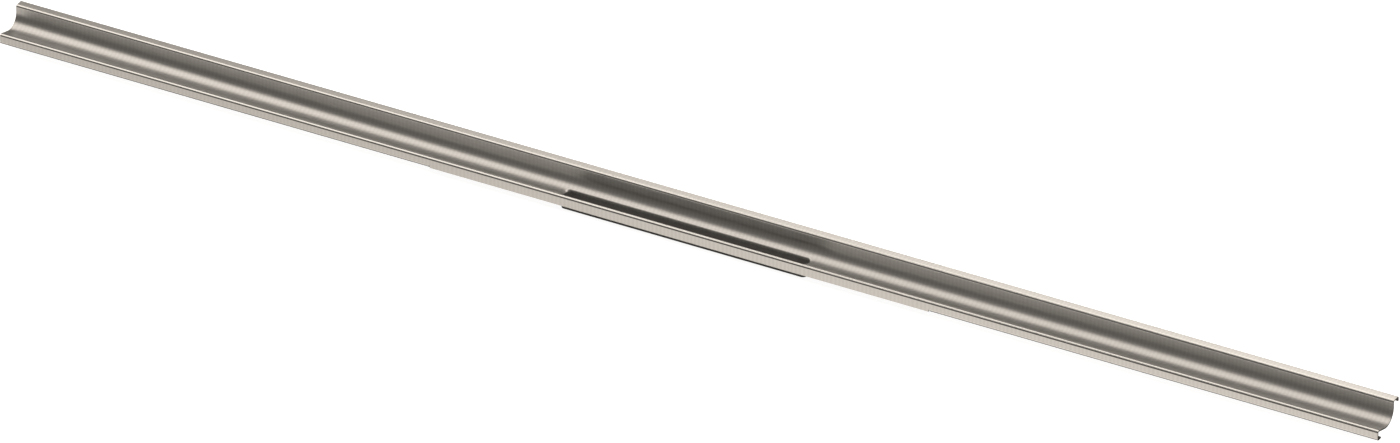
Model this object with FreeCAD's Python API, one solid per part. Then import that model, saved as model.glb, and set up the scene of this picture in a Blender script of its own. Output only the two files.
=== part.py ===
"""Linear shower drain: a long folded stainless channel with a welded outlet spout.

Millimetres. +X runs along the channel, +Y from the floor side to the wall side, +Z up.
The origin is the centre of the spout's lower end.
"""

import FreeCAD, Part
import math
import os

from FreeCAD import Vector

# The sheet and its folds
SHEET = 1.5
FOLD_RADIUS = 1.0

# The channel's outline across its length
CHANNEL_LENGTH = 1600.0
TROUGH_WIDTH = 33.3
TROUGH_RADIUS = 14.0
LIP_HEIGHT = 20.0
SKIRT_HEIGHT = 11.4
FOOT_WIDTH = 7.5
WALL_HEIGHT = 17.9
FLANGE_WIDTH = 11.7
FLANGE_DROP = 5.6

# The fall of the trough's bottom, from each end to the level middle
END_DEPTH = 4.1
FALL = 2.0
MIDDLE_LENGTH = 582.0
NOTCH_WIDTH = 1.2

# The slot, its turned-down rim and the spout under it
SLOT_LENGTH = 282.0
SLOT_REAR = 23.4
SLOT_CORNER = 3.5
RIM_FOLD = 1.5
RIM_DEPTH = 9.5
OUTLET_WIDTH = 13.0
FUNNEL_NECK = 1.5
FUNNEL_ANGLE = 25.0
PANEL_GAP = 0.3

# Sizes that follow from the ones above
OUTER_FOLD = FOLD_RADIUS + SHEET
SPOUT_REAR = (OUTLET_WIDTH + 2 * SHEET) / 2
SKIRT_Y = SPOUT_REAR - SLOT_REAR - SHEET
SLOT_REAR_Y = SKIRT_Y + SLOT_REAR
SLOT_FRONT_Y = SKIRT_Y + SHEET + OUTER_FOLD
WALL_Y = SKIRT_Y + TROUGH_WIDTH
EDGE_Y = WALL_Y + FLANGE_WIDTH
FOOT_Z = LIP_HEIGHT - SKIRT_HEIGHT
FLANGE_Z = LIP_HEIGHT + WALL_HEIGHT
RIM_Z = LIP_HEIGHT - RIM_DEPTH
HALF_LENGTH = CHANNEL_LENGTH / 2
HALF_MIDDLE = MIDDLE_LENGTH / 2
HALF_SLOT = SLOT_LENGTH / 2


def arc(centre, radius, start, end):
    """Arc about centre (y, z), at X = 0, between two angles in degrees from +Y towards +Z."""
    def at(angle):
        turn = math.radians(angle)
        return Vector(0, centre[0] + radius * math.cos(turn), centre[1] + radius * math.sin(turn))

    return Part.Arc(at(start), at((start + end) / 2), at(end)).toShape()


def joined(pieces):
    """Close a chain of arcs with straight lines between their ends, as one wire."""
    edges = []
    for piece, following in zip(pieces, pieces[1:] + pieces[:1]):
        edges.append(piece)
        start = piece.valueAt(piece.LastParameter)
        end = following.valueAt(following.FirstParameter)
        if start.distanceToPoint(end) > 1e-6:
            edges.append(Part.LineSegment(start, end).toShape())
    return Part.Wire(edges)


def trough_centre(depth):
    """Centre (y, z) of the trough's round back, for a bottom this deep below the lip."""
    return WALL_Y - TROUGH_RADIUS, LIP_HEIGHT - depth + TROUGH_RADIUS


def slope_angle(depth):
    """Angle of the trough's front slope, tangent to the lip's fold and to the round back."""
    centre = trough_centre(depth)
    across = centre[0] - (SKIRT_Y + OUTER_FOLD)
    up = centre[1] - (LIP_HEIGHT - OUTER_FOLD)
    apart = math.hypot(across, up)
    return math.degrees(math.atan2(across, up) - math.acos((OUTER_FOLD + TROUGH_RADIUS) / apart))


def section(depth, x):
    """Closed outline of the folded sheet, across the channel at x."""
    slope = slope_angle(depth)
    foot = (SKIRT_Y + OUTER_FOLD, FOOT_Z + OUTER_FOLD)
    lip = (SKIRT_Y + OUTER_FOLD, LIP_HEIGHT - OUTER_FOLD)
    trough = trough_centre(depth)
    shoulder = (WALL_Y + OUTER_FOLD, FLANGE_Z - OUTER_FOLD)
    edge = (EDGE_Y - OUTER_FOLD, FLANGE_Z - OUTER_FOLD)
    face = [
        arc(foot, OUTER_FOLD, 270, 180),
        arc(lip, OUTER_FOLD, 180, 90 - slope),
        arc(trough, TROUGH_RADIUS, 270 - slope, 360),
        arc(shoulder, OUTER_FOLD, 180, 90),
        arc(edge, OUTER_FOLD, 90, 0),
    ]
    back = [
        arc(edge, FOLD_RADIUS, 0, 90),
        arc(shoulder, FOLD_RADIUS, 90, 180),
        arc(trough, TROUGH_RADIUS + SHEET, 360, 270 - slope),
        arc(lip, FOLD_RADIUS, 90 - slope, 180),
        arc(foot, FOLD_RADIUS, 180, 270),
    ]
    drop_z = FLANGE_Z - FLANGE_DROP
    drop = Part.LineSegment(Vector(0, EDGE_Y, drop_z), Vector(0, EDGE_Y - SHEET, drop_z)).toShape()
    end_y = SKIRT_Y + FOOT_WIDTH
    foot_end = Part.LineSegment(Vector(0, end_y, FOOT_Z + SHEET), Vector(0, end_y, FOOT_Z)).toShape()
    wire = joined(face + [drop] + back + [foot_end])
    wire.translate(Vector(x, 0, 0))
    return wire


def folded_sheet():
    """The whole sheet with its fall, before the foot is cut back and the slot is opened."""
    middle_depth = END_DEPTH + FALL
    stations = [
        section(END_DEPTH, -HALF_LENGTH),
        section(middle_depth, -HALF_MIDDLE),
        section(middle_depth, HALF_MIDDLE),
        section(END_DEPTH, HALF_LENGTH),
    ]
    return Part.makeLoft(stations, True, True)


def straight_foot(sheet):
    """Take the return fold off the middle of the skirt, and run the skirt straight down there."""
    corner = Vector(-HALF_MIDDLE, SKIRT_Y - 0.5, FOOT_Z - 1)
    space = Part.makeBox(MIDDLE_LENGTH, FOOT_WIDTH + 1, OUTER_FOLD + 1, corner)
    length = MIDDLE_LENGTH - 2 * NOTCH_WIDTH
    edge = Part.makeBox(length, SHEET, OUTER_FOLD, Vector(-length / 2, SKIRT_Y, FOOT_Z))
    return sheet.cut(space).fuse(edge)


def plan(half_length, front, rear, front_radius, rear_radius, z):
    """Rectangle in plan with its own corner radius at the front and at the rear."""
    corners = [
        (-half_length, front, front_radius, 180),
        (half_length, front, front_radius, 270),
        (half_length, rear, rear_radius, 0),
        (-half_length, rear, rear_radius, 90),
    ]
    edges = []
    ends = []
    for x, y, radius, start in corners:
        centre = Vector(x - math.copysign(radius, x), y + radius if y == front else y - radius, z)
        turns = [math.radians(start + step) for step in (0, 45, 90)]
        points = [centre + Vector(radius * math.cos(t), radius * math.sin(t), 0) for t in turns]
        if radius > 0:
            edges.append(Part.Arc(*points).toShape())
        ends.append((points[0], points[2]))
    for index, (_, last) in enumerate(ends):
        edges.append(Part.LineSegment(last, ends[(index + 1) % 4][0]).toShape())
    return Part.Wire(Part.__sortEdges__(edges))


def prism(wire, height):
    """Solid with this outline in plan."""
    return Part.Face(wire).extrude(Vector(0, 0, height))


def block_under(offset, half_length, opening, fold):
    """Block under the middle trough's surface, sunk by offset, with a rounded opening through it.

    The surface runs on past the lip, so that the opening is a plain notch from the front.
    """
    depth = END_DEPTH + FALL
    slope = slope_angle(depth)
    turn = math.radians(slope)
    trough = trough_centre(depth)
    radius = TROUGH_RADIUS + offset
    back = arc(trough, radius, 270 - slope, 340)
    start = back.valueAt(back.FirstParameter)
    bottom = -TROUGH_RADIUS
    front_y = SKIRT_Y - TROUGH_RADIUS
    front = Vector(0, front_y, start.z + (start.y - front_y) * math.tan(turn))
    rear = back.valueAt(back.LastParameter)
    corners = [rear, Vector(0, rear.y, bottom), Vector(0, front_y, bottom), front, start]
    lines = [Part.LineSegment(a, b).toShape() for a, b in zip(corners, corners[1:])]
    face = Part.Face(Part.Wire([back] + lines))
    face.translate(Vector(-half_length, 0, 0))
    block = face.extrude(Vector(2 * half_length, 0, 0))
    notch = plan(opening[0], front_y - 1, opening[1], 0, opening[2], bottom - 1)
    block = block.cut(prism(notch, front.z - bottom + 2))
    rim = []
    for piece in block.Edges:
        box = piece.BoundBox
        inside = box.XMax <= opening[0] + 1e-3 and box.XMin >= -opening[0] - 1e-3
        if inside and box.YMax <= opening[1] + 1e-3 and box.ZMin > 0 and box.YMin > front_y - 1e-3:
            upright = box.XLength < 1e-3 and box.YLength < 1e-3
            if not upright and box.YMax > front_y + 1e-3:
                rim.append(piece)
    return block.makeFillet(fold, rim)


def slot_rim():
    """The piece of sheet round the slot, with its edge turned down at the rear and at both ends."""
    outer_fold = RIM_FOLD + SHEET
    reach = HALF_SLOT + outer_fold + SHEET
    surface = block_under(0, reach + 1, (HALF_SLOT, SLOT_REAR_Y, SLOT_CORNER), outer_fold)
    outline = (HALF_SLOT + SHEET, SLOT_REAR_Y + SHEET, SLOT_CORNER + SHEET)
    underside = block_under(SHEET, reach + 2, outline, RIM_FOLD)
    return surface.cut(underside).common(rim_zone(reach))


def rim_zone(reach):
    """Box that holds the rim and the sheet next to it."""
    depth = SLOT_REAR_Y + RIM_FOLD + 2 * SHEET - SLOT_FRONT_Y
    return Part.makeBox(2 * reach, depth, LIP_HEIGHT - RIM_Z, Vector(-reach, SLOT_FRONT_Y, RIM_Z))


def channel():
    """The folded sheet with its slot."""
    sheet = straight_foot(folded_sheet())
    reach = HALF_SLOT + RIM_FOLD + 2 * SHEET
    return sheet.cut(rim_zone(reach)).fuse(slot_rim()).removeSplitter()


def spout_walls(inset, lift):
    """Solid of the spout's outline, moved in by inset, with its funnel lifted by lift."""
    front = SKIRT_Y + SHEET + inset
    outlet_front = SPOUT_REAR - 2 * SHEET - OUTLET_WIDTH + inset
    rear = SPOUT_REAR - inset
    length = HALF_SLOT + SHEET - inset
    corner = SLOT_CORNER + SHEET - inset
    fold = OUTER_FOLD - inset
    funnel_top = RIM_Z - FUNNEL_NECK
    funnel_base = funnel_top - (outlet_front - front) * math.tan(math.radians(FUNNEL_ANGLE))
    stations = [
        plan(length, front, rear, fold, corner, RIM_Z),
        plan(length, front, rear, fold, corner, funnel_top + lift),
        plan(length, outlet_front, rear, corner, corner, funnel_base + lift),
        plan(length, outlet_front, rear, corner, corner, 0),
    ]
    return Part.makeLoft(stations, True, True)


def front_panel():
    """The spout's front wall, up behind the skirt to the lip, with its two folded sides."""
    height = LIP_HEIGHT - OUTER_FOLD - PANEL_GAP - RIM_Z
    reach = HALF_SLOT + SHEET
    front = SKIRT_Y + SHEET
    outer = plan(reach, front, SPOUT_REAR, OUTER_FOLD, SLOT_CORNER + SHEET, RIM_Z)
    inner = plan(HALF_SLOT, front + SHEET, SPOUT_REAR - SHEET, FOLD_RADIUS, SLOT_CORNER, RIM_Z)
    ring = prism(outer, height).cut(prism(inner, height))
    keep = Part.makeBox(2 * reach, SLOT_FRONT_Y - front, height, Vector(-reach, front, RIM_Z))
    return ring.common(keep)


def spout():
    """Funnel and outlet welded under the slot's rim."""
    lift = SHEET * math.tan(math.radians(45 - FUNNEL_ANGLE / 2))
    tube = spout_walls(0, 0).cut(spout_walls(SHEET, lift))
    return tube.fuse(front_panel()).removeSplitter()


def main():
    """Write one STEP file for each piece."""
    os.makedirs("parts", exist_ok=True)
    for name, shape in (("channel", channel()), ("outlet_spout", spout())):
        shape.Solids[0].exportStep(f"parts/{name}.step")


main()
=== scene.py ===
"""Looks of a linear shower drain: a folded stainless channel over a narrow outlet spout.

The drain's sizes and the scales of its finishes are in millimetres, the studio's are in metres.
Every finished mesh is in metres, in the part's frame: +X along the channel, +Y from the floor side
to the wall side, +Z up.
"""

import logging
import math
from dataclasses import dataclass
from enum import Enum

import bmesh
import bpy
from mathutils import Matrix, Vector


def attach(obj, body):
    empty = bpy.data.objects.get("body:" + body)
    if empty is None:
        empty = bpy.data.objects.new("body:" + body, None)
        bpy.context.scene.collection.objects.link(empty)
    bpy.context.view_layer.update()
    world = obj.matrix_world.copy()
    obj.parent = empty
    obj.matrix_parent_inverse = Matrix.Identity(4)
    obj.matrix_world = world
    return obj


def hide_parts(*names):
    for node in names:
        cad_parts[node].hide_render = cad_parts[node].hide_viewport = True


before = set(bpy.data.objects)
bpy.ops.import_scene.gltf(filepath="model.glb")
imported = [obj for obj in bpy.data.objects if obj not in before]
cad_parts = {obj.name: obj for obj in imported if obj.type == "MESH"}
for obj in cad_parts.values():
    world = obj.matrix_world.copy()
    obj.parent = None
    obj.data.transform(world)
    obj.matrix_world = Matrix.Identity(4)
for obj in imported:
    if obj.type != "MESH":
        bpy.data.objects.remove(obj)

MM = 0.001
ROOT_BODY = "root"

# Direction of the channel's length, which every long fold turns round.
ALONG = (1.0, 0.0, 0.0)
# Millimetres within which two points are the same one: rounding stays below it.
SAME_PLACE = 1e-4
# Millimetres that a fold's flat faces may lie inside its radius; rows of 4 degrees lie 0.0015 inside.
FOLD_SLACK = 0.005
# Rounds after which the tilt of the slot's rim no longer changes.
TILT_ROUNDS = 20

# Blender's wave texture runs through 20 radians over one unit of its scale.
WAVE_STEP = 20.0
# Places of the two colours and of their mixture on a Mix node, whose sockets share their names.
MIX_FIRST = 6
MIX_SECOND = 7
MIX_RESULT = 2
# Colour of all the light: the photograph is slightly warm on bright and on dark steel alike.
WARM_LIGHT = "#FFF6EC"

# What a section grows from: one vert that draws edges, or a row of edges that draws faces.
Tip = list[bmesh.types.BMVert] | list[bmesh.types.BMEdge]

log = logging.getLogger("shower_drain")


class Side(Enum):
    """Material slots of the channel, in the order of its mesh."""

    FACE = 0
    BACK = 1
    CUT = 2
    FOLD = 3


def linear(colour: str) -> tuple[float, float, float, float]:
    """Turn an sRGB hex colour to linear light.

    Args:
        colour: Six hex digits after a hash sign.

    Returns:
        Red, green, blue and an alpha of one.
    """
    values = [int(colour[i : i + 2], 16) / 255 for i in (1, 3, 5)]
    turned = [v / 12.92 if v <= 0.04045 else ((v + 0.055) / 1.055) ** 2.4 for v in values]
    return (turned[0], turned[1], turned[2], 1.0)


def blank_material(name: str) -> tuple[bpy.types.Material, bpy.types.NodeTree]:
    """Make a material without nodes.

    Args:
        name: Name of the material.

    Returns:
        The material, and its empty node tree.
    """
    material = bpy.data.materials.new(name)
    material.use_nodes = True
    material.node_tree.nodes.clear()
    return material, material.node_tree


def add_node(
    tree: bpy.types.NodeTree, kind: str, links: dict | None = None, **settings: object
) -> bpy.types.Node:
    """Add a shader node with its settings and its links.

    Args:
        tree: Node tree that the node goes into.
        kind: Blender's name of the node type.
        links: Input name or number to the output socket that feeds it.
        settings: Node properties by name, and input values by name after "in_".

    Returns:
        The new node.
    """
    node = tree.nodes.new(kind)
    for name, value in settings.items():
        if name.startswith("in_"):
            node.inputs[name[3:].replace("_", " ")].default_value = value
        else:
            setattr(node, name, value)
    for name, socket in (links or {}).items():
        tree.links.new(socket, node.inputs[name])
    return node


def same(one: float, other: float) -> bool:
    """Tell whether two lengths in millimetres differ by rounding alone."""
    return abs(one - other) < SAME_PLACE


def lies_within(edge: bmesh.types.BMEdge, low_y: float, high_y: float, high_z: float) -> bool:
    """Tell whether an edge lies between two places across the channel and not above a height.

    Args:
        edge: Edge of a section.
        low_y: Front of the stretch.
        high_y: Back of the stretch.
        high_z: Top of the stretch.

    Returns:
        True where both of its ends do.
    """
    return all(
        low_y - SAME_PLACE <= v.co.y <= high_y + SAME_PLACE and v.co.z <= high_z + SAME_PLACE
        for v in edge.verts
    )


def draw_out(
    mesh: bmesh.types.BMesh, edges: list[bmesh.types.BMEdge]
) -> tuple[list[bmesh.types.BMEdge], set[bmesh.types.BMVert]]:
    """Extrude edges in place.

    Args:
        mesh: Mesh that is built.
        edges: Edges to extrude.

    Returns:
        The new edges, and their verts.
    """
    made = bmesh.ops.extrude_edge_only(mesh, edges=edges)["geom"]
    fresh = {g for g in made if isinstance(g, bmesh.types.BMVert)}
    rims = [g for g in made if isinstance(g, bmesh.types.BMEdge) and fresh.issuperset(g.verts)]
    return rims, fresh


def settle_order(mesh: bmesh.types.BMesh) -> None:
    """Sort edges and faces by their verts, because extruding orders them differently in every run.

    Args:
        mesh: Mesh that is built. Its verts come in the same order every time.
    """
    mesh.verts.index_update()
    for parts in (mesh.edges, mesh.faces):
        ranked = sorted(parts, key=lambda part: sorted(vert.index for vert in part.verts))
        for number, part in enumerate(ranked):
            part.index = number
        parts.sort()


@dataclass(frozen=True)
class BrushedStainless:
    """Austenitic stainless sheet, brushed with a belt across the channel.

    The belt leaves fine grooves that all run across the channel, so a reflection is smeared along
    the length and stays fairly sharp across it. The grooves of a fine belt are 0.05 to 0.2 mm
    apart, too fine to show, so faint strokes 4.5 mm apart stand for them, with finer grooves 0.6 mm
    apart between them that only a close view shows.

    Attributes:
        stroke_wander: How far a stroke strays from a straight line.
        wander_detail: Octaves of the noise that leads it astray.
        wander_scale: Size of that noise's octaves.
        groove_detail: Octaves of the grooves' noise.
    """

    name: str = "brushed_stainless_sheet"
    colour: str = "#A7A7A6"
    stroke_colour: str = "#A1A1A0"
    roughness: float = 0.40
    stroke_roughness: float = 0.01
    anisotropy: float = 0.5
    stroke_mm: float = 4.5
    stroke_length_mm: float = 90.0
    stroke_wander: float = 4.0
    wander_detail: float = 1.0
    wander_scale: float = 0.6
    groove_mm: float = 0.6
    groove_length_mm: float = 25.0
    groove_depth_mm: float = 0.001
    groove_detail: float = 2.0

    def build(self) -> bpy.types.Material:
        """Make the material.

        Returns:
            The material, with its pattern on Object coordinates.
        """
        material, tree = blank_material(self.name)
        place = add_node(tree, "ShaderNodeTexCoord").outputs["Object"]
        narrow = self.stroke_mm / self.stroke_length_mm
        stroke_place = add_node(
            tree, "ShaderNodeMapping", {"Vector": place}, in_Scale=(1.0, narrow, narrow)
        )
        strokes = add_node(
            tree, "ShaderNodeTexWave", {"Vector": stroke_place.outputs["Vector"]},
            in_Scale=2 * math.pi / (WAVE_STEP * self.stroke_mm * MM), in_Distortion=self.stroke_wander,
            in_Detail=self.wander_detail, in_Detail_Scale=self.wander_scale,
        )
        across = 1 / (self.groove_mm * MM)
        along = 1 / (self.groove_length_mm * MM)
        groove_place = add_node(
            tree, "ShaderNodeMapping", {"Vector": place}, in_Scale=(across, along, along)
        )
        grooves = add_node(
            tree, "ShaderNodeTexNoise", {"Vector": groove_place.outputs["Vector"]},
            in_Scale=1.0, in_Detail=self.groove_detail,
        )
        tint = add_node(tree, "ShaderNodeMix", {"Factor": strokes.outputs["Fac"]}, data_type="RGBA")
        tint.inputs[MIX_FIRST].default_value = linear(self.colour)
        tint.inputs[MIX_SECOND].default_value = linear(self.stroke_colour)
        rough = add_node(
            tree, "ShaderNodeMapRange", {"Value": strokes.outputs["Fac"]},
            in_To_Min=self.roughness - self.stroke_roughness,
            in_To_Max=self.roughness + self.stroke_roughness,
        )
        relief = add_node(
            tree, "ShaderNodeBump", {"Height": grooves.outputs["Fac"]},
            in_Strength=1.0, in_Distance=self.groove_depth_mm * MM,
        )
        length = add_node(tree, "ShaderNodeCombineXYZ", in_X=1.0, in_Y=0.0, in_Z=0.0)
        shader = add_node(
            tree, "ShaderNodeBsdfPrincipled",
            {
                "Base Color": tint.outputs[MIX_RESULT],
                "Roughness": rough.outputs["Result"],
                "Normal": relief.outputs["Normal"],
                "Tangent": length.outputs["Vector"],
            },
            in_Metallic=1.0, in_Anisotropic=self.anisotropy,
        )
        add_node(tree, "ShaderNodeOutputMaterial", {"Surface": shader.outputs["BSDF"]})
        return material


@dataclass(frozen=True)
class PressedFold:
    """Brushed sheet stretched round the press tool, which rubs the grooves flat.

    It shines more than the sheet beside it, and smears a reflection less. The rubbing is uneven
    over a few millimetres.
    """

    name: str = "burnished_stainless_fold"
    colour: str = "#ABABAA"
    roughness: float = 0.17
    roughness_swing: float = 0.05
    anisotropy: float = 0.3
    rub_mm: float = 2.8
    rub_detail: float = 1.0

    def build(self) -> bpy.types.Material:
        """Make the material.

        Returns:
            The material, with its pattern on Object coordinates.
        """
        material, tree = blank_material(self.name)
        place = add_node(tree, "ShaderNodeTexCoord").outputs["Object"]
        rubs = add_node(
            tree, "ShaderNodeTexNoise", {"Vector": place},
            in_Scale=1 / (self.rub_mm * MM), in_Detail=self.rub_detail,
        )
        rough = add_node(
            tree, "ShaderNodeMapRange", {"Value": rubs.outputs["Fac"]},
            in_To_Min=self.roughness - self.roughness_swing,
            in_To_Max=self.roughness + self.roughness_swing,
        )
        length = add_node(tree, "ShaderNodeCombineXYZ", in_X=1.0, in_Y=0.0, in_Z=0.0)
        shader = add_node(
            tree, "ShaderNodeBsdfPrincipled",
            {"Roughness": rough.outputs["Result"], "Tangent": length.outputs["Vector"]},
            in_Base_Color=linear(self.colour), in_Metallic=1.0, in_Anisotropic=self.anisotropy,
        )
        add_node(tree, "ShaderNodeOutputMaterial", {"Surface": shader.outputs["BSDF"]})
        return material


@dataclass(frozen=True)
class MillStainless:
    """Cold-rolled stainless sheet as the mill leaves it.

    Rolled, annealed and pickled, it is dull and greyer than the brushed side, and has no direction.
    Faint clouds a few centimetres wide run through its dullness.
    """

    name: str = "mill_finish_stainless_sheet"
    colour: str = "#8C8C8B"
    roughness: float = 0.42
    roughness_swing: float = 0.06
    cloud_mm: float = 35.0
    cloud_detail: float = 4.0

    def build(self) -> bpy.types.Material:
        """Make the material.

        Returns:
            The material, with its pattern on Object coordinates.
        """
        material, tree = blank_material(self.name)
        place = add_node(tree, "ShaderNodeTexCoord").outputs["Object"]
        clouds = add_node(
            tree, "ShaderNodeTexNoise", {"Vector": place},
            in_Scale=1 / (self.cloud_mm * MM), in_Detail=self.cloud_detail,
        )
        rough = add_node(
            tree, "ShaderNodeMapRange", {"Value": clouds.outputs["Fac"]},
            in_To_Min=self.roughness - self.roughness_swing,
            in_To_Max=self.roughness + self.roughness_swing,
        )
        shader = add_node(
            tree, "ShaderNodeBsdfPrincipled", {"Roughness": rough.outputs["Result"]},
            in_Base_Color=linear(self.colour), in_Metallic=1.0,
        )
        add_node(tree, "ShaderNodeOutputMaterial", {"Surface": shader.outputs["BSDF"]})
        return material


@dataclass(frozen=True)
class PickledStainless(MillStainless):
    """The same sheet after welding and pickling.

    The acid takes off the heat's tint, and leaves the spout as dull as the mill did but brighter.
    """

    name: str = "pickled_stainless_spout"
    colour: str = "#A6A6A5"


@dataclass(frozen=True)
class CutEdge:
    """Edge of the sheet as the laser leaves it: matt and darker, with ridges through it."""

    name: str = "laser_cut_stainless_edge"
    colour: str = "#3E3E3D"
    roughness: float = 0.55
    ridge_mm: float = 0.4
    ridge_detail: float = 2.0
    ridge_depth_mm: float = 0.03
    ridge_strength: float = 0.6

    def build(self) -> bpy.types.Material:
        """Make the material.

        Returns:
            The material, with its pattern on Object coordinates.
        """
        material, tree = blank_material(self.name)
        place = add_node(tree, "ShaderNodeTexCoord").outputs["Object"]
        ridges = add_node(
            tree, "ShaderNodeTexNoise", {"Vector": place},
            in_Scale=1 / (self.ridge_mm * MM), in_Detail=self.ridge_detail,
        )
        relief = add_node(
            tree, "ShaderNodeBump", {"Height": ridges.outputs["Fac"]},
            in_Strength=self.ridge_strength, in_Distance=self.ridge_depth_mm * MM,
        )
        shader = add_node(
            tree, "ShaderNodeBsdfPrincipled", {"Normal": relief.outputs["Normal"]},
            in_Base_Color=linear(self.colour), in_Metallic=1.0, in_Roughness=self.roughness,
        )
        add_node(tree, "ShaderNodeOutputMaterial", {"Surface": shader.outputs["BSDF"]})
        return material


@dataclass(frozen=True)
class PaleFloor:
    """Matt white acrylic of a product table that is lit from below, so that no shade shows on it."""

    name: str = "matt_white_studio_floor"
    colour: str = "#949494"
    roughness: float = 0.9
    glow: float = 0.92

    def build(self) -> bpy.types.Material:
        """Make the material.

        Returns:
            The material, without gloss.
        """
        material, tree = blank_material(self.name)
        shader = add_node(
            tree, "ShaderNodeBsdfPrincipled", in_Base_Color=linear(self.colour),
            in_Roughness=self.roughness, in_Specular_IOR_Level=0.0,
            in_Emission_Color=linear("#FFFFFF"), in_Emission_Strength=self.glow,
        )
        add_node(tree, "ShaderNodeOutputMaterial", {"Surface": shader.outputs["BSDF"]})
        return material


@dataclass(frozen=True)
class PipeBelow(PaleFloor):
    """Dark grey patch of floor in the spout's bore, without the table's glow: painted shade, so that the
    inside of the spout stays dark.
    """

    name: str = "grey_waste_pipe_below"
    colour: str = "#646464"
    glow: float = 0.0


@dataclass(frozen=True)
class BlackCard(PaleFloor):
    """Matt black sheet under the drain, seen only in mirrors: painted shade, the table's shade that the
    drain's underside mirrors.
    """

    name: str = "painted_shade_under_drain"
    colour: str = "#202020"
    glow: float = 0.0


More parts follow.
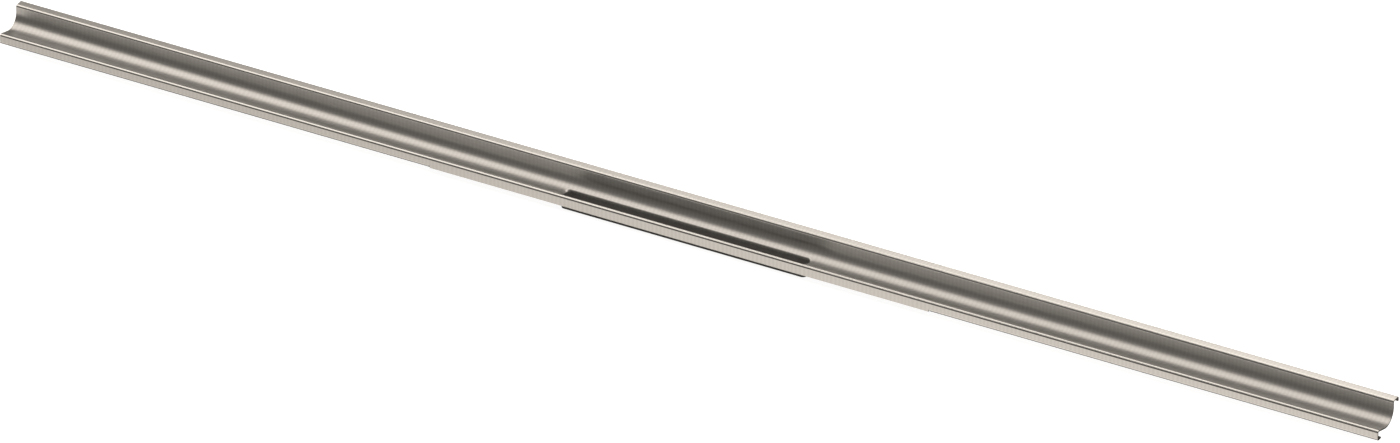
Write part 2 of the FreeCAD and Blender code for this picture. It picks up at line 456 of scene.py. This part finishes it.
@dataclass
class FoldedChannel:
    """The folded sheet: skirt, lip, trough with its fall, flange, and the slot with its rim.

    Sizes are millimetres on the brushed side. The section is drawn as one line of folds at four
    places along half of the channel, and these lines are bridged. Beside the slot lies a patch: its
    border is drawn in to the slot row by row, and turned down there as the rim. The other half is
    the first one's mirror image, and the sheet gets its thickness last.

    Attributes:
        node: The part's node that the channel stands for.
        sheet: Thickness of the sheet.
        fold: Radius of the four long folds.
        half_length: Half of the whole length.
        half_middle: Half of the level middle, where the skirt ends without a return fold.
        notch: Width of the relief cut beside the return fold.
        half_slot: Half of the slot's length.
        skirt_y: Front of the skirt.
        lip_z: Top of the front lip.
        foot_z: Lowest height of the skirt.
        foot_width: How far back the return fold reaches from the skirt's front.
        wall_y: Front of the rear wall, where the trough's round back ends.
        trough_radius: Radius of that round back.
        end_depth: Depth of the trough below the lip at the channel's ends.
        middle_depth: Its depth in the level middle.
        flange_z: Top of the flange.
        edge_y: Back of the flange's turned-down edge.
        flange_drop: Height of that edge, from the flange's top.
        slot_front_y: Front edge of the slot, on the slope behind the lip.
        slot_rear_y: Rear edge of the slot.
        slot_corner: Radius of the slot's rear corners.
        rim_fold: Radius of the fold that turns the rim down.
        rim_z: Lower edge of the rim.
        patch_margin: How far the patch reaches past the slot's end.
        corner_columns: Columns of faces behind the patch's corner.
        rear_stations: Places along X of the columns behind the slot's straight rear edge.
        rim_rows: Rows of faces on the rim's fold.
        degrees_per_row: Turn from one row of faces to the next on every other fold.
        crisp_angle: Degrees between two faces from which the edge between them stays crisp.
    """

    node: str = "channel"
    sheet: float = 1.5
    fold: float = 2.5
    half_length: float = 800.0
    half_middle: float = 291.0
    notch: float = 1.2
    half_slot: float = 141.0
    skirt_y: float = -16.9
    lip_z: float = 20.0
    foot_z: float = 8.6
    foot_width: float = 7.5
    wall_y: float = 16.4
    trough_radius: float = 14.0
    end_depth: float = 4.1
    middle_depth: float = 6.1
    flange_z: float = 37.9
    edge_y: float = 28.1
    flange_drop: float = 5.6
    slot_front_y: float = -12.9
    slot_rear_y: float = 6.5
    slot_corner: float = 3.5
    rim_fold: float = 3.0
    rim_z: float = 10.5
    patch_margin: float = 10.0
    corner_columns: int = 10
    rear_stations: tuple[float, ...] = (90.0, 45.0, 0.0)
    rim_rows: int = 9
    degrees_per_row: float = 4.0
    crisp_angle: float = 30.0

    def trough_centre(self, depth: float) -> tuple[float, float]:
        """Return the centre (y, z) of the trough's round back for a depth below the lip."""
        return self.wall_y - self.trough_radius, self.lip_z - depth + self.trough_radius

    def slope(self, depth: float) -> float:
        """Find the trough's front slope, which touches the lip's fold and the round back.

        Args:
            depth: The trough's depth below the lip.

        Returns:
            How far the slope falls towards the back, in radians.
        """
        centre_y, centre_z = self.trough_centre(depth)
        across = centre_y - (self.skirt_y + self.fold)
        up = centre_z - (self.lip_z - self.fold)
        reach = (self.fold + self.trough_radius) / math.hypot(across, up)
        return math.atan2(across, up) - math.acos(reach)

    def height(self, y: float) -> float:
        """Find the height of the middle trough's surface.

        Args:
            y: Place between the lip's fold and the rear wall.

        Returns:
            The surface's height there.
        """
        centre_y, centre_z = self.trough_centre(self.middle_depth)
        slope = self.slope(self.middle_depth)
        tangent_y = centre_y - self.trough_radius * math.sin(slope)
        if y < tangent_y:
            return centre_z - self.trough_radius * math.cos(slope) + (tangent_y - y) * math.tan(slope)
        return centre_z - math.sqrt(max(self.trough_radius**2 - (y - centre_y) ** 2, 0.0))

    def steepness(self, y: float) -> float:
        """Return how fast the middle trough's surface rises towards the back at y."""
        step = 0.01
        return (self.height(y + step) - self.height(y - step)) / (2 * step)

    def run(self, mesh: bmesh.types.BMesh, start: Tip, offset: tuple[float, float]) -> Tip:
        """Draw verts or edges out along a straight line.

        Args:
            mesh: Mesh that is built.
            start: Verts or edges to draw out.
            offset: How far they go in y and z.

        Returns:
            The verts or edges at the far end.
        """
        if isinstance(start[0], bmesh.types.BMVert):
            drawn = bmesh.ops.extrude_vert_indiv(mesh, verts=start)["verts"]
            fresh = drawn
        else:
            drawn, fresh = draw_out(mesh, start)
        bmesh.ops.translate(mesh, verts=list(fresh), vec=(0.0, *offset))
        return drawn

    def turn(
        self, mesh: bmesh.types.BMesh, start: Tip, centre: tuple[float, float], angle: float
    ) -> Tip:
        """Fold verts or edges round a line along the channel.

        Args:
            mesh: Mesh that is built.
            start: Verts or edges to fold.
            centre: Place (y, z) of the line.
            angle: Radians, from +Y towards +Z.

        Returns:
            The verts or edges at the far end.
        """
        rows = math.ceil(abs(math.degrees(angle)) / self.degrees_per_row)
        made = bmesh.ops.spin(
            mesh, geom=start, cent=(0.0, *centre), axis=ALONG, angle=angle, steps=rows,
            use_merge=False, use_duplicate=False, dvec=(0.0, 0.0, 0.0), space=Matrix.Identity(4),
            use_normal_flip=False,
        )["geom_last"]
        kind = type(start[0])
        return [g for g in made if isinstance(g, kind)]

    def draw_front(self, mesh: bmesh.types.BMesh, x: float, depth: float) -> bmesh.types.BMVert:
        """Draw the section's front at x, from the skirt over the lip and down the trough's slope.

        Args:
            mesh: Mesh that is built.
            x: Place along the channel.
            depth: The trough's depth there.

        Returns:
            The vert on the slope in line with the slot's front edge.
        """
        slope = self.slope(depth)
        tip = [mesh.verts.new((x, self.skirt_y, self.foot_z + self.fold))]
        tip = self.run(mesh, tip, (0.0, self.lip_z - 2 * self.fold - self.foot_z))
        centre = (self.skirt_y + self.fold, self.lip_z - self.fold)
        tip = self.turn(mesh, tip, centre, -(math.pi / 2 + slope))
        on = self.slot_front_y - tip[0].co.y
        return self.run(mesh, tip, (on, -on * math.tan(slope)))[0]

    def draw_trough(
        self, mesh: bmesh.types.BMesh, start: bmesh.types.BMVert, depth: float
    ) -> bmesh.types.BMVert:
        """Draw the section's slope and round back on from its front.

        Args:
            mesh: Mesh that is built.
            start: The front's last vert.
            depth: The trough's depth there.

        Returns:
            The vert at the foot of the rear wall.
        """
        slope = self.slope(depth)
        centre = self.trough_centre(depth)
        end_y = centre[0] - self.trough_radius * math.sin(slope)
        end_z = centre[1] - self.trough_radius * math.cos(slope)
        tip = self.run(mesh, [start], (end_y - start.co.y, end_z - start.co.z))
        return self.turn(mesh, tip, centre, math.pi / 2 + slope)[0]

    def draw_back(self, mesh: bmesh.types.BMesh, start: Tip) -> None:
        """Draw the rear wall, the flange and its turned-down edge on from the trough.

        Args:
            mesh: Mesh that is built.
            start: Vert or edges at the foot of the wall.
        """
        foot = start[0] if isinstance(start[0], bmesh.types.BMVert) else start[0].verts[0]
        level = self.flange_z - self.fold
        tip = self.run(mesh, start, (0.0, level - foot.co.z))
        tip = self.turn(mesh, tip, (self.wall_y + self.fold, level), -math.pi / 2)
        tip = self.run(mesh, tip, (self.edge_y - self.wall_y - 2 * self.fold, 0.0))
        tip = self.turn(mesh, tip, (self.edge_y - self.fold, level), -math.pi / 2)
        self.run(mesh, tip, (0.0, self.fold - self.flange_drop))

    def section(
        self, mesh: bmesh.types.BMesh, x: float, depth: float
    ) -> list[bmesh.types.BMEdge]:
        """Draw one whole section, from the skirt to the flange's edge.

        Args:
            mesh: Mesh that is built.
            x: Place along the channel.
            depth: The trough's depth there.

        Returns:
            The section's edges.
        """
        before = set(mesh.edges)
        tip = self.draw_front(mesh, x, depth)
        tip = self.draw_trough(mesh, tip, depth)
        self.draw_back(mesh, [tip])
        return [e for e in mesh.edges if e not in before]

    def rim_place(self, wall: Vector, outward: Vector, angle: float) -> Vector:
        """Return the plan place of the rim's fold where it has turned by angle, in radians."""
        return wall + outward * self.rim_fold * (1 - math.sin(angle))

    def rim_point(self, wall: Vector, outward: Vector, share: float) -> Vector:
        """Place a point of the rim's fold.

        Args:
            wall: Plan place of the rim's upright wall.
            outward: Unit plan direction from the slot into the sheet.
            share: 0 where the fold leaves the trough, 1 where it is upright.

        Returns:
            The point on the fold's outside.
        """
        # Where the fold leaves the trough depends on the trough's tilt there, and the other way round.
        tilt = 0.0
        for _ in range(TILT_ROUNDS):
            foot = self.rim_place(wall, outward, tilt)
            tilt = math.atan(self.steepness(foot.y) * outward.y)
        foot = self.rim_place(wall, outward, tilt)
        centre_z = self.height(foot.y) - self.rim_fold * math.cos(tilt)
        turned = tilt + (math.pi / 2 - tilt) * share
        place = self.rim_place(wall, outward, turned)
        return Vector((place.x, place.y, centre_z + self.rim_fold * math.cos(turned)))

    def slot_edge(self, place: Vector) -> tuple[Vector, Vector]:
        """Find the slot's edge that a point of the patch's border belongs to.

        Args:
            place: A point on the border, at the end of the patch or behind the slot.

        Returns:
            The plan place on the slot's edge, and the unit plan direction out from it.
        """
        corner = Vector((self.half_slot - self.slot_corner, self.slot_rear_y - self.slot_corner, 0.0))
        patch_x = self.half_slot + self.patch_margin
        if place.y <= corner.y:
            return Vector((self.half_slot, place.y, 0.0)), Vector((1.0, 0.0, 0.0))
        if place.x <= corner.x:
            return Vector((place.x, self.slot_rear_y, 0.0)), Vector((0.0, 1.0, 0.0))
        # The patch's own corner belongs to the middle of the round one, at 45 degrees.
        if same(place.x, patch_x):
            share = (place.y - corner.y) / (self.wall_y - corner.y)
            angle = math.pi / 4 * share
        else:
            share = (place.x - corner.x) / (patch_x - corner.x)
            angle = math.pi / 2 - math.pi / 4 * share
        outward = Vector((math.cos(angle), math.sin(angle), 0.0))
        return corner + outward * self.slot_corner, outward

    def row_shares(self) -> list[float]:
        """Space the rows between the patch's border and the rim's fold.

        Returns:
            The share of the way in that each row has come, in even turns of the trough's round back.
        """
        centre_y = self.trough_centre(self.middle_depth)[0]
        rear = self.rim_point(Vector((0.0, self.slot_rear_y, 0.0)), Vector((0.0, 1.0, 0.0)), 0.0)
        last = math.asin((rear.y - centre_y) / self.trough_radius)
        rows = math.ceil(math.degrees(math.pi / 2 - last) / self.degrees_per_row)
        shares = []
        for row in range(1, rows + 1):
            angle = math.pi / 2 + (last - math.pi / 2) * row / rows
            y = centre_y + self.trough_radius * math.sin(angle)
            shares.append((self.wall_y - y) / (self.wall_y - rear.y))
        return shares

    def open_slot(self, mesh: bmesh.types.BMesh, border: list[bmesh.types.BMEdge]) -> None:
        """Draw the trough in from the patch's border to the slot, and turn its rim down.

        Args:
            mesh: Mesh that is built.
            border: Edges of the patch's end and of its rear, which meet at the patch's corner.
        """
        anchors = {}
        for vert in {v for e in border for v in e.verts}:
            wall, outward = self.slot_edge(vert.co)
            anchors[vert] = (vert.co.copy(), wall, outward)
        shares = self.row_shares()
        rows = len(shares)
        edges = border
        for row in range(rows + self.rim_rows + 1):
            edges, fresh = draw_out(mesh, edges)
            moved = {}
            for vert in fresh:
                source = next(e.other_vert(vert) for e in vert.link_edges if e.other_vert(vert) in anchors)
                moved[vert] = anchors[source]
            for vert, (start, wall, outward) in moved.items():
                if row < rows:
                    place = start.lerp(self.rim_point(wall, outward, 0.0), shares[row])
                    vert.co = (place.x, place.y, self.height(place.y))
                elif row < rows + self.rim_rows:
                    vert.co = self.rim_point(wall, outward, (row - rows + 1) / self.rim_rows)
                else:
                    vert.co = (wall.x, wall.y, self.rim_z)
            anchors = moved

    def rear_columns(self) -> list[float]:
        """Space the columns behind the slot.

        Returns:
            Their places along X, from beside the patch's corner to the middle.
        """
        patch_x = self.half_slot + self.patch_margin
        corner_x = self.half_slot - self.slot_corner
        steps = self.corner_columns
        near = [patch_x + (corner_x - patch_x) * i / steps for i in range(1, steps + 1)]
        return near + list(self.rear_stations)

    def build_lip(self, mesh: bmesh.types.BMesh, front: list[bmesh.types.BMEdge]) -> None:
        """Draw the skirt and the lip on from the patch's end to the middle, in front of the slot.

        Args:
            mesh: Mesh that is built, with the slot open.
            front: Edges of the section at the patch's end that lie in front of the slot.
        """
        patch_x = self.half_slot + self.patch_margin
        level = self.height(self.slot_front_y)
        columns = {0.0, self.half_slot}
        for vert in mesh.verts:
            beside = same(vert.co.y, self.slot_front_y) and same(vert.co.z, level)
            if beside and vert.co.x < patch_x - SAME_PLACE:
                columns.add(round(vert.co.x, 5))
        edges = front
        for x in sorted(columns, reverse=True):
            edges, fresh = draw_out(mesh, edges)
            for vert in fresh:
                vert.co.x = x

    def build_half(self, mesh: bmesh.types.BMesh) -> None:
        """Build the brushed side of the half with X above zero, down to the folds at its foot.

        Args:
            mesh: Mesh that is built.
        """
        patch_x = self.half_slot + self.patch_margin
        stations = [
            self.section(mesh, patch_x, self.middle_depth),
            self.section(mesh, self.half_middle - self.notch, self.middle_depth),
            self.section(mesh, self.half_middle, self.middle_depth),
            self.section(mesh, self.half_length, self.end_depth),
        ]
        for one, other in zip(stations, stations[1:]):
            bmesh.ops.bridge_loops(mesh, edges=one + other)
        seam = stations[0]
        foot_z = self.trough_centre(self.middle_depth)[1]
        tip = next(v for e in seam for v in e.verts if same(v.co.y, self.wall_y) and same(v.co.z, foot_z))
        rear = []
        for x in self.rear_columns():
            made = bmesh.ops.extrude_vert_indiv(mesh, verts=[tip])
            tip = made["verts"][0]
            tip.co.x = x
            rear += made["edges"]
        self.draw_back(mesh, rear)
        trough = [e for e in seam if lies_within(e, self.slot_front_y, self.wall_y, foot_z)]
        self.open_slot(mesh, trough + rear)
        front = [e for e in seam if lies_within(e, self.skirt_y, self.slot_front_y, self.lip_z)]
        self.build_lip(mesh, front)
        bmesh.ops.remove_doubles(mesh, verts=mesh.verts[:], dist=SAME_PLACE)

    def fold_foot(self, mesh: bmesh.types.BMesh) -> None:
        """Finish the skirt: straight down in the middle, folded under outside it.

        Args:
            mesh: Mesh of the half, which gets the notch between the two as well.
        """
        low = self.foot_z + self.fold
        lower = [
            e for e in mesh.edges
            if all(same(v.co.y, self.skirt_y) and same(v.co.z, low) for v in e.verts)
        ]
        inner_end = self.half_middle - self.notch
        middle = [e for e in lower if all(v.co.x < inner_end + SAME_PLACE for v in e.verts)]
        outer = [e for e in lower if all(v.co.x > self.half_middle - SAME_PLACE for v in e.verts)]
        self.run(mesh, middle, (0.0, -self.fold))
        tip = self.turn(mesh, outer, (self.skirt_y + self.fold, low), math.pi / 2)
        self.run(mesh, tip, (self.foot_width - self.fold, 0.0))

    def burnish_folds(self, data: bpy.types.Mesh) -> None:
        """Give the outside of the four long folds its own finish.

        Args:
            data: The channel's finished mesh, in metres.
        """
        front = self.skirt_y + self.fold
        level = self.flange_z - self.fold
        axes = [
            (front, self.foot_z + self.fold),
            (front, self.lip_z - self.fold),
            (self.wall_y + self.fold, level),
            (self.edge_y - self.fold, level),
        ]
        for face in data.polygons:
            y, z = face.center.y / MM, face.center.z / MM
            on_fold = any(abs(math.hypot(y - a, z - b) - self.fold) < FOLD_SLACK for a, b in axes)
            if on_fold and face.material_index == Side.FACE.value:
                face.material_index = Side.FOLD.value

    def build_skin(self) -> bpy.types.Mesh:
        """Build the brushed side of the whole channel.

        Returns:
            The mesh, in metres and without thickness, with its faces towards the brushed side.
        """
        mesh = bmesh.new()
        self.build_half(mesh)
        self.fold_foot(mesh)
        bmesh.ops.remove_doubles(mesh, verts=mesh.verts[:], dist=SAME_PLACE)
        half = mesh.verts[:] + mesh.edges[:] + mesh.faces[:]
        bmesh.ops.mirror(
            mesh, geom=half, matrix=Matrix.Identity(4), merge_dist=SAME_PLACE, axis="X"
        )
        bmesh.ops.remove_doubles(mesh, verts=mesh.verts[:], dist=SAME_PLACE)
        bmesh.ops.recalc_face_normals(mesh, faces=mesh.faces[:])
        # The rearmost face is on the flange's turned-down edge, whose brushed side faces back.
        rearmost = max(mesh.faces, key=lambda face: face.calc_center_median().y)
        if rearmost.normal.y < 0:
            bmesh.ops.reverse_faces(mesh, faces=mesh.faces[:])
        bmesh.ops.scale(mesh, vec=(MM, MM, MM), verts=mesh.verts[:])
        settle_order(mesh)
        data = bpy.data.meshes.new("folded_channel")
        mesh.to_mesh(data)
        mesh.free()
        return data

    def build(self, finishes: dict[Side, bpy.types.Material]) -> bpy.types.Object:
        """Build the whole channel.

        Args:
            finishes: Finish of each side of the sheet.

        Returns:
            The channel, in place, standing for the part's node.
        """
        data = self.build_skin()
        for side in Side:
            data.materials.append(finishes[side])
        shell = bpy.data.objects.new("folded_channel", data)
        bpy.context.scene.collection.objects.link(shell)
        thick = shell.modifiers.new("sheet_thickness", "SOLIDIFY")
        thick.thickness = self.sheet * MM
        thick.offset = -1.0
        thick.use_even_offset = True
        thick.material_offset = Side.BACK.value
        thick.material_offset_rim = Side.CUT.value
        bake_modifiers(shell)
        self.burnish_folds(shell.data)
        smooth(shell, self.crisp_angle)
        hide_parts(self.node)
        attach(shell, ROOT_BODY)
        return shell


@dataclass
class OutletSpout:
    """The narrow collar welded under the slot, whose node has the right shape and is only dressed."""

    node: str = "outlet_spout"

    def dress(self, finish: bpy.types.Material) -> bpy.types.Object:
        """Give the spout its finish.

        Args:
            finish: Material of the whole spout.

        Returns:
            The node's object.
        """
        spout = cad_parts[self.node]
        for slot in spout.material_slots:
            slot.material = finish
        return spout


def bake_modifiers(piece: bpy.types.Object) -> None:
    """Put what a piece's modifiers make into its own mesh.

    Args:
        piece: The piece, which keeps no modifier.
    """
    bpy.context.view_layer.update()
    depsgraph = bpy.context.evaluated_depsgraph_get()
    made = bpy.data.meshes.new_from_object(piece.evaluated_get(depsgraph))
    made.name = piece.data.name
    piece.modifiers.clear()
    piece.data = made


def smooth(piece: bpy.types.Object, angle: float) -> None:
    """Shade a piece smooth, with edges sharper than angle, in degrees, left crisp."""
    piece.data.shade_smooth()
    piece.data.set_sharp_from_angle(angle=math.radians(angle))


@dataclass
class Softbox:
    """One soft studio light, a glowing rectangle of width by height metres.

    Attributes:
        place: Its middle.
        aim: Point that it faces.
        radiance: How bright its surface is.
        turn: Degrees that it is turned by, about the line to its aim.
    """

    name: str
    place: tuple[float, float, float]
    aim: tuple[float, float, float]
    width: float
    height: float
    radiance: float
    turn: float = 0.0

    def build(self) -> bpy.types.Object:
        """Hang the light and aim it.

        Returns:
            The light's object.
        """
        lamp = bpy.data.lights.new(self.name, "AREA")
        lamp.shape = "RECTANGLE"
        lamp.size = self.width
        lamp.size_y = self.height
        # Blender takes a lamp's whole power, which is its radiance times pi times its area.
        lamp.energy = self.radiance * math.pi * self.width * self.height
        lamp.color = linear(WARM_LIGHT)[:3]
        holder = bpy.data.objects.new(self.name, lamp)
        holder.location = self.place
        direction = Vector(self.aim) - Vector(self.place)
        aimed = direction.to_track_quat("-Z", "Y").to_matrix()
        holder.rotation_euler = (aimed @ Matrix.Rotation(math.radians(self.turn), 3, "Z")).to_euler()
        bpy.context.scene.collection.objects.link(holder)
        return holder


def lay(name: str, mesh: bmesh.types.BMesh, finish: bpy.types.Material) -> bpy.types.Object:
    """Put a mesh into the scene as a piece of the stage, and free it.

    Args:
        name: Name of the piece.
        mesh: Its shape.
        finish: Its material.

    Returns:
        The new object.
    """
    data = bpy.data.meshes.new(name)
    mesh.to_mesh(data)
    mesh.free()
    data.materials.append(finish)
    piece = bpy.data.objects.new(name, data)
    bpy.context.scene.collection.objects.link(piece)
    return piece


@dataclass
class Studio:
    """Floor, light and camera.

    Mirror rays don't see the floor. Under the horizon they see the room's own light from below,
    the softbox under the table and, under the drain, a black sheet of painted shade.

    Attributes:
        floor_size: Side of the square floor.
        outlet: Length and width of the patch of floor under the spout's bore.
        card_reach: Half of the length of the painted shade sheet.
        card_front: Front of the painted shade sheet.
        card_back: Back of the painted shade sheet.
        card_z: Height of the painted shade sheet, just below the floor.
        room_light: Strength of the room's light from above and all round.
        table_light: Strength of the room's light from below, in place of the white table's.
        table_fade: Upward part of the directions between which the one turns into the other.
        azimuth: Degrees that the camera stands to the right of the channel's front.
        elevation: Degrees that it stands above the floor.
        lens: Its focal length, in millimetres.
        sensor: Its sensor's width, in millimetres.
        distance: How far it stands from its target.
        target: Point in the middle of its view.
        clip_start: Nearest distance that it sees.
        clip_end: Farthest distance that it sees.
    """

    floor_size: float = 60.0
    outlet: tuple[float, float] = (0.282, 0.013)
    card_reach: float = 0.81
    card_front: float = -0.022
    card_back: float = 0.036
    card_z: float = -0.0003
    room_light: float = 0.24
    table_light: float = 1.42
    table_fade: tuple[float, float] = (-0.44, -0.06)
    azimuth: float = 29.09
    elevation: float = 31.17
    lens: float = 522.8
    sensor: float = 36.0
    distance: float = 20.604
    target: tuple[float, float, float] = (0.02593, -0.0169, 0.03752)
    clip_start: float = 1.0
    clip_end: float = 60.0

    def build_floor(
        self, finish: bpy.types.Material, dull: bpy.types.Material
    ) -> list[bpy.types.Object]:
        """Lay the floor under the spout, round a patch that fills the spout's bore.

        Args:
            finish: The floor's finish.
            dull: The patch's finish, which nothing lights from below: painted shade in the spout's bore.

        Returns:
            The floor and its patch.
        """
        mesh = bmesh.new()
        signs = ((-1, -1), (1, -1), (1, 1), (-1, 1))
        reach = self.floor_size / 2
        bore = [(x * self.outlet[0] / 2, y * self.outlet[1] / 2, 0.0) for x, y in signs]
        outer = [mesh.verts.new((x * reach, y * reach, 0.0)) for x, y in signs]
        inner = [mesh.verts.new(corner) for corner in bore]
        for side in range(4):
            after = (side + 1) % 4
            mesh.faces.new((outer[side], outer[after], inner[after], inner[side]))
        floor = lay("studio_floor", mesh, finish)
        floor.visible_glossy = False
        floor.visible_shadow = False
        # The patch is painted shade: darker floor without glow, so that the spout's bore stays dark.
        mesh = bmesh.new()
        mesh.faces.new([mesh.verts.new(corner) for corner in bore])
        return [floor, lay("studio_floor_patch", mesh, dull)]

    def build_card(self, finish: bpy.types.Material) -> bpy.types.Object:
        """Lay a black sheet under the drain, painted shade that its underside mirrors.

        Args:
            finish: The painted shade sheet's finish.

        Returns:
            The painted shade sheet, which neither the camera nor a shadow shows.
        """
        mesh = bmesh.new()
        corners = (
            (-self.card_reach, self.card_front),
            (self.card_reach, self.card_front),
            (self.card_reach, self.card_back),
            (-self.card_reach, self.card_back),
        )
        mesh.faces.new([mesh.verts.new((x, y, self.card_z)) for x, y in corners])
        card = lay("painted_shade_sheet", mesh, finish)
        card.visible_camera = False
        card.visible_shadow = False
        return card

    def build_world(self) -> None:
        """Fill the room with plain soft light: dim all round, bright from the white table below."""
        world = bpy.data.worlds.new("soft_room")
        world.use_nodes = True
        tree = world.node_tree
        shade = tree.nodes["Background"]
        shade.inputs["Color"].default_value = linear(WARM_LIGHT)
        place = add_node(tree, "ShaderNodeTexCoord")
        parts = add_node(tree, "ShaderNodeSeparateXYZ", {"Vector": place.outputs["Generated"]})
        level = add_node(
            tree, "ShaderNodeMapRange", {"Value": parts.outputs["Z"]}, interpolation_type="SMOOTHSTEP",
            in_From_Min=self.table_fade[0], in_From_Max=self.table_fade[1],
            in_To_Min=self.table_light, in_To_Max=self.room_light,
        )
        tree.links.new(level.outputs["Result"], shade.inputs["Strength"])
        bpy.context.scene.world = world
        bpy.context.scene.view_settings.view_transform = "Standard"

    def build_lights(self) -> list[bpy.types.Object]:
        """Hang the softboxes.

        Two wide ones hang overhead, to the left and over the drain towards the back. One stands low
        behind the drain, one high on the right, and one lies under the white table in front.

        Returns:
            The lights' objects.
        """
        boxes = [
            Softbox(
                "overhead_softbox", place=(-2.8, 0.0, 2.5), aim=(-2.8, 0.0, 0.0),
                width=3.6, height=3.5, radiance=2.12, turn=20.0,
            ),
            Softbox(
                "wide_softbox", place=(0.85, 1.1, 2.5), aim=(0.85, 1.1, 0.0),
                width=3.6, height=5.6, radiance=1.85, turn=25.0,
            ),
            Softbox(
                "back_softbox", place=(0.3, 1.6, 1.1), aim=(0.3, 0.0, 0.0),
                width=2.8, height=1.2, radiance=1.27,
            ),
            Softbox(
                "right_softbox", place=(3.2, -0.6, 2.2), aim=(0.0, 0.0, 0.0),
                width=2.0, height=2.0, radiance=3.5,
            ),
            Softbox(
                "table_softbox", place=(0.15, -1.17, -0.8), aim=(0.15, -1.17, 0.0),
                width=2.0, height=1.4, radiance=0.55,
            ),
        ]
        return [box.build() for box in boxes]

    def build_camera(self) -> bpy.types.Object:
        """Set the camera at the photograph's viewing angle.

        Returns:
            The camera's object.
        """
        turn = math.radians(self.azimuth)
        rise = math.radians(self.elevation)
        back = Vector((math.sin(turn) * math.cos(rise), -math.cos(turn) * math.cos(rise), math.sin(rise)))
        right = Vector((math.cos(turn), math.sin(turn), 0.0))
        up = back.cross(right)
        data = bpy.data.cameras.new("camera")
        data.lens = self.lens
        data.sensor_width = self.sensor
        data.sensor_fit = "HORIZONTAL"
        data.clip_start = self.clip_start
        data.clip_end = self.clip_end
        camera = bpy.data.objects.new("camera", data)
        place = Vector(self.target) + back * self.distance
        camera.matrix_world = Matrix(
            (
                (right.x, up.x, back.x, place.x),
                (right.y, up.y, back.y, place.y),
                (right.z, up.z, back.z, place.z),
                (0.0, 0.0, 0.0, 1.0),
            )
        )
        bpy.context.scene.collection.objects.link(camera)
        bpy.context.scene.camera = camera
        return camera


def main() -> None:
    """Build the drain and the studio."""
    logging.basicConfig(level=logging.INFO, format="%(message)s")
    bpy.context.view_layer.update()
    finishes = {
        Side.FACE: BrushedStainless().build(),
        Side.BACK: MillStainless().build(),
        Side.CUT: CutEdge().build(),
        Side.FOLD: PressedFold().build(),
    }
    channel = FoldedChannel().build(finishes)
    log.info("channel: %d faces", len(channel.data.polygons))
    spout = OutletSpout().dress(PickledStainless().build())
    log.info("outlet spout: %d faces", len(spout.data.polygons))
    studio = Studio()
    stage = studio.build_floor(PaleFloor().build(), PipeBelow().build())
    # The black sheet under the drain is painted shade, which only mirror rays see.
    stage.append(studio.build_card(BlackCard().build()))
    log.info("stage: %s", ", ".join(piece.name for piece in stage))
    studio.build_world()
    lights = studio.build_lights()
    log.info("lights: %s", ", ".join(light.name for light in lights))
    studio.build_camera()


if __name__ == "__main__":
    main()
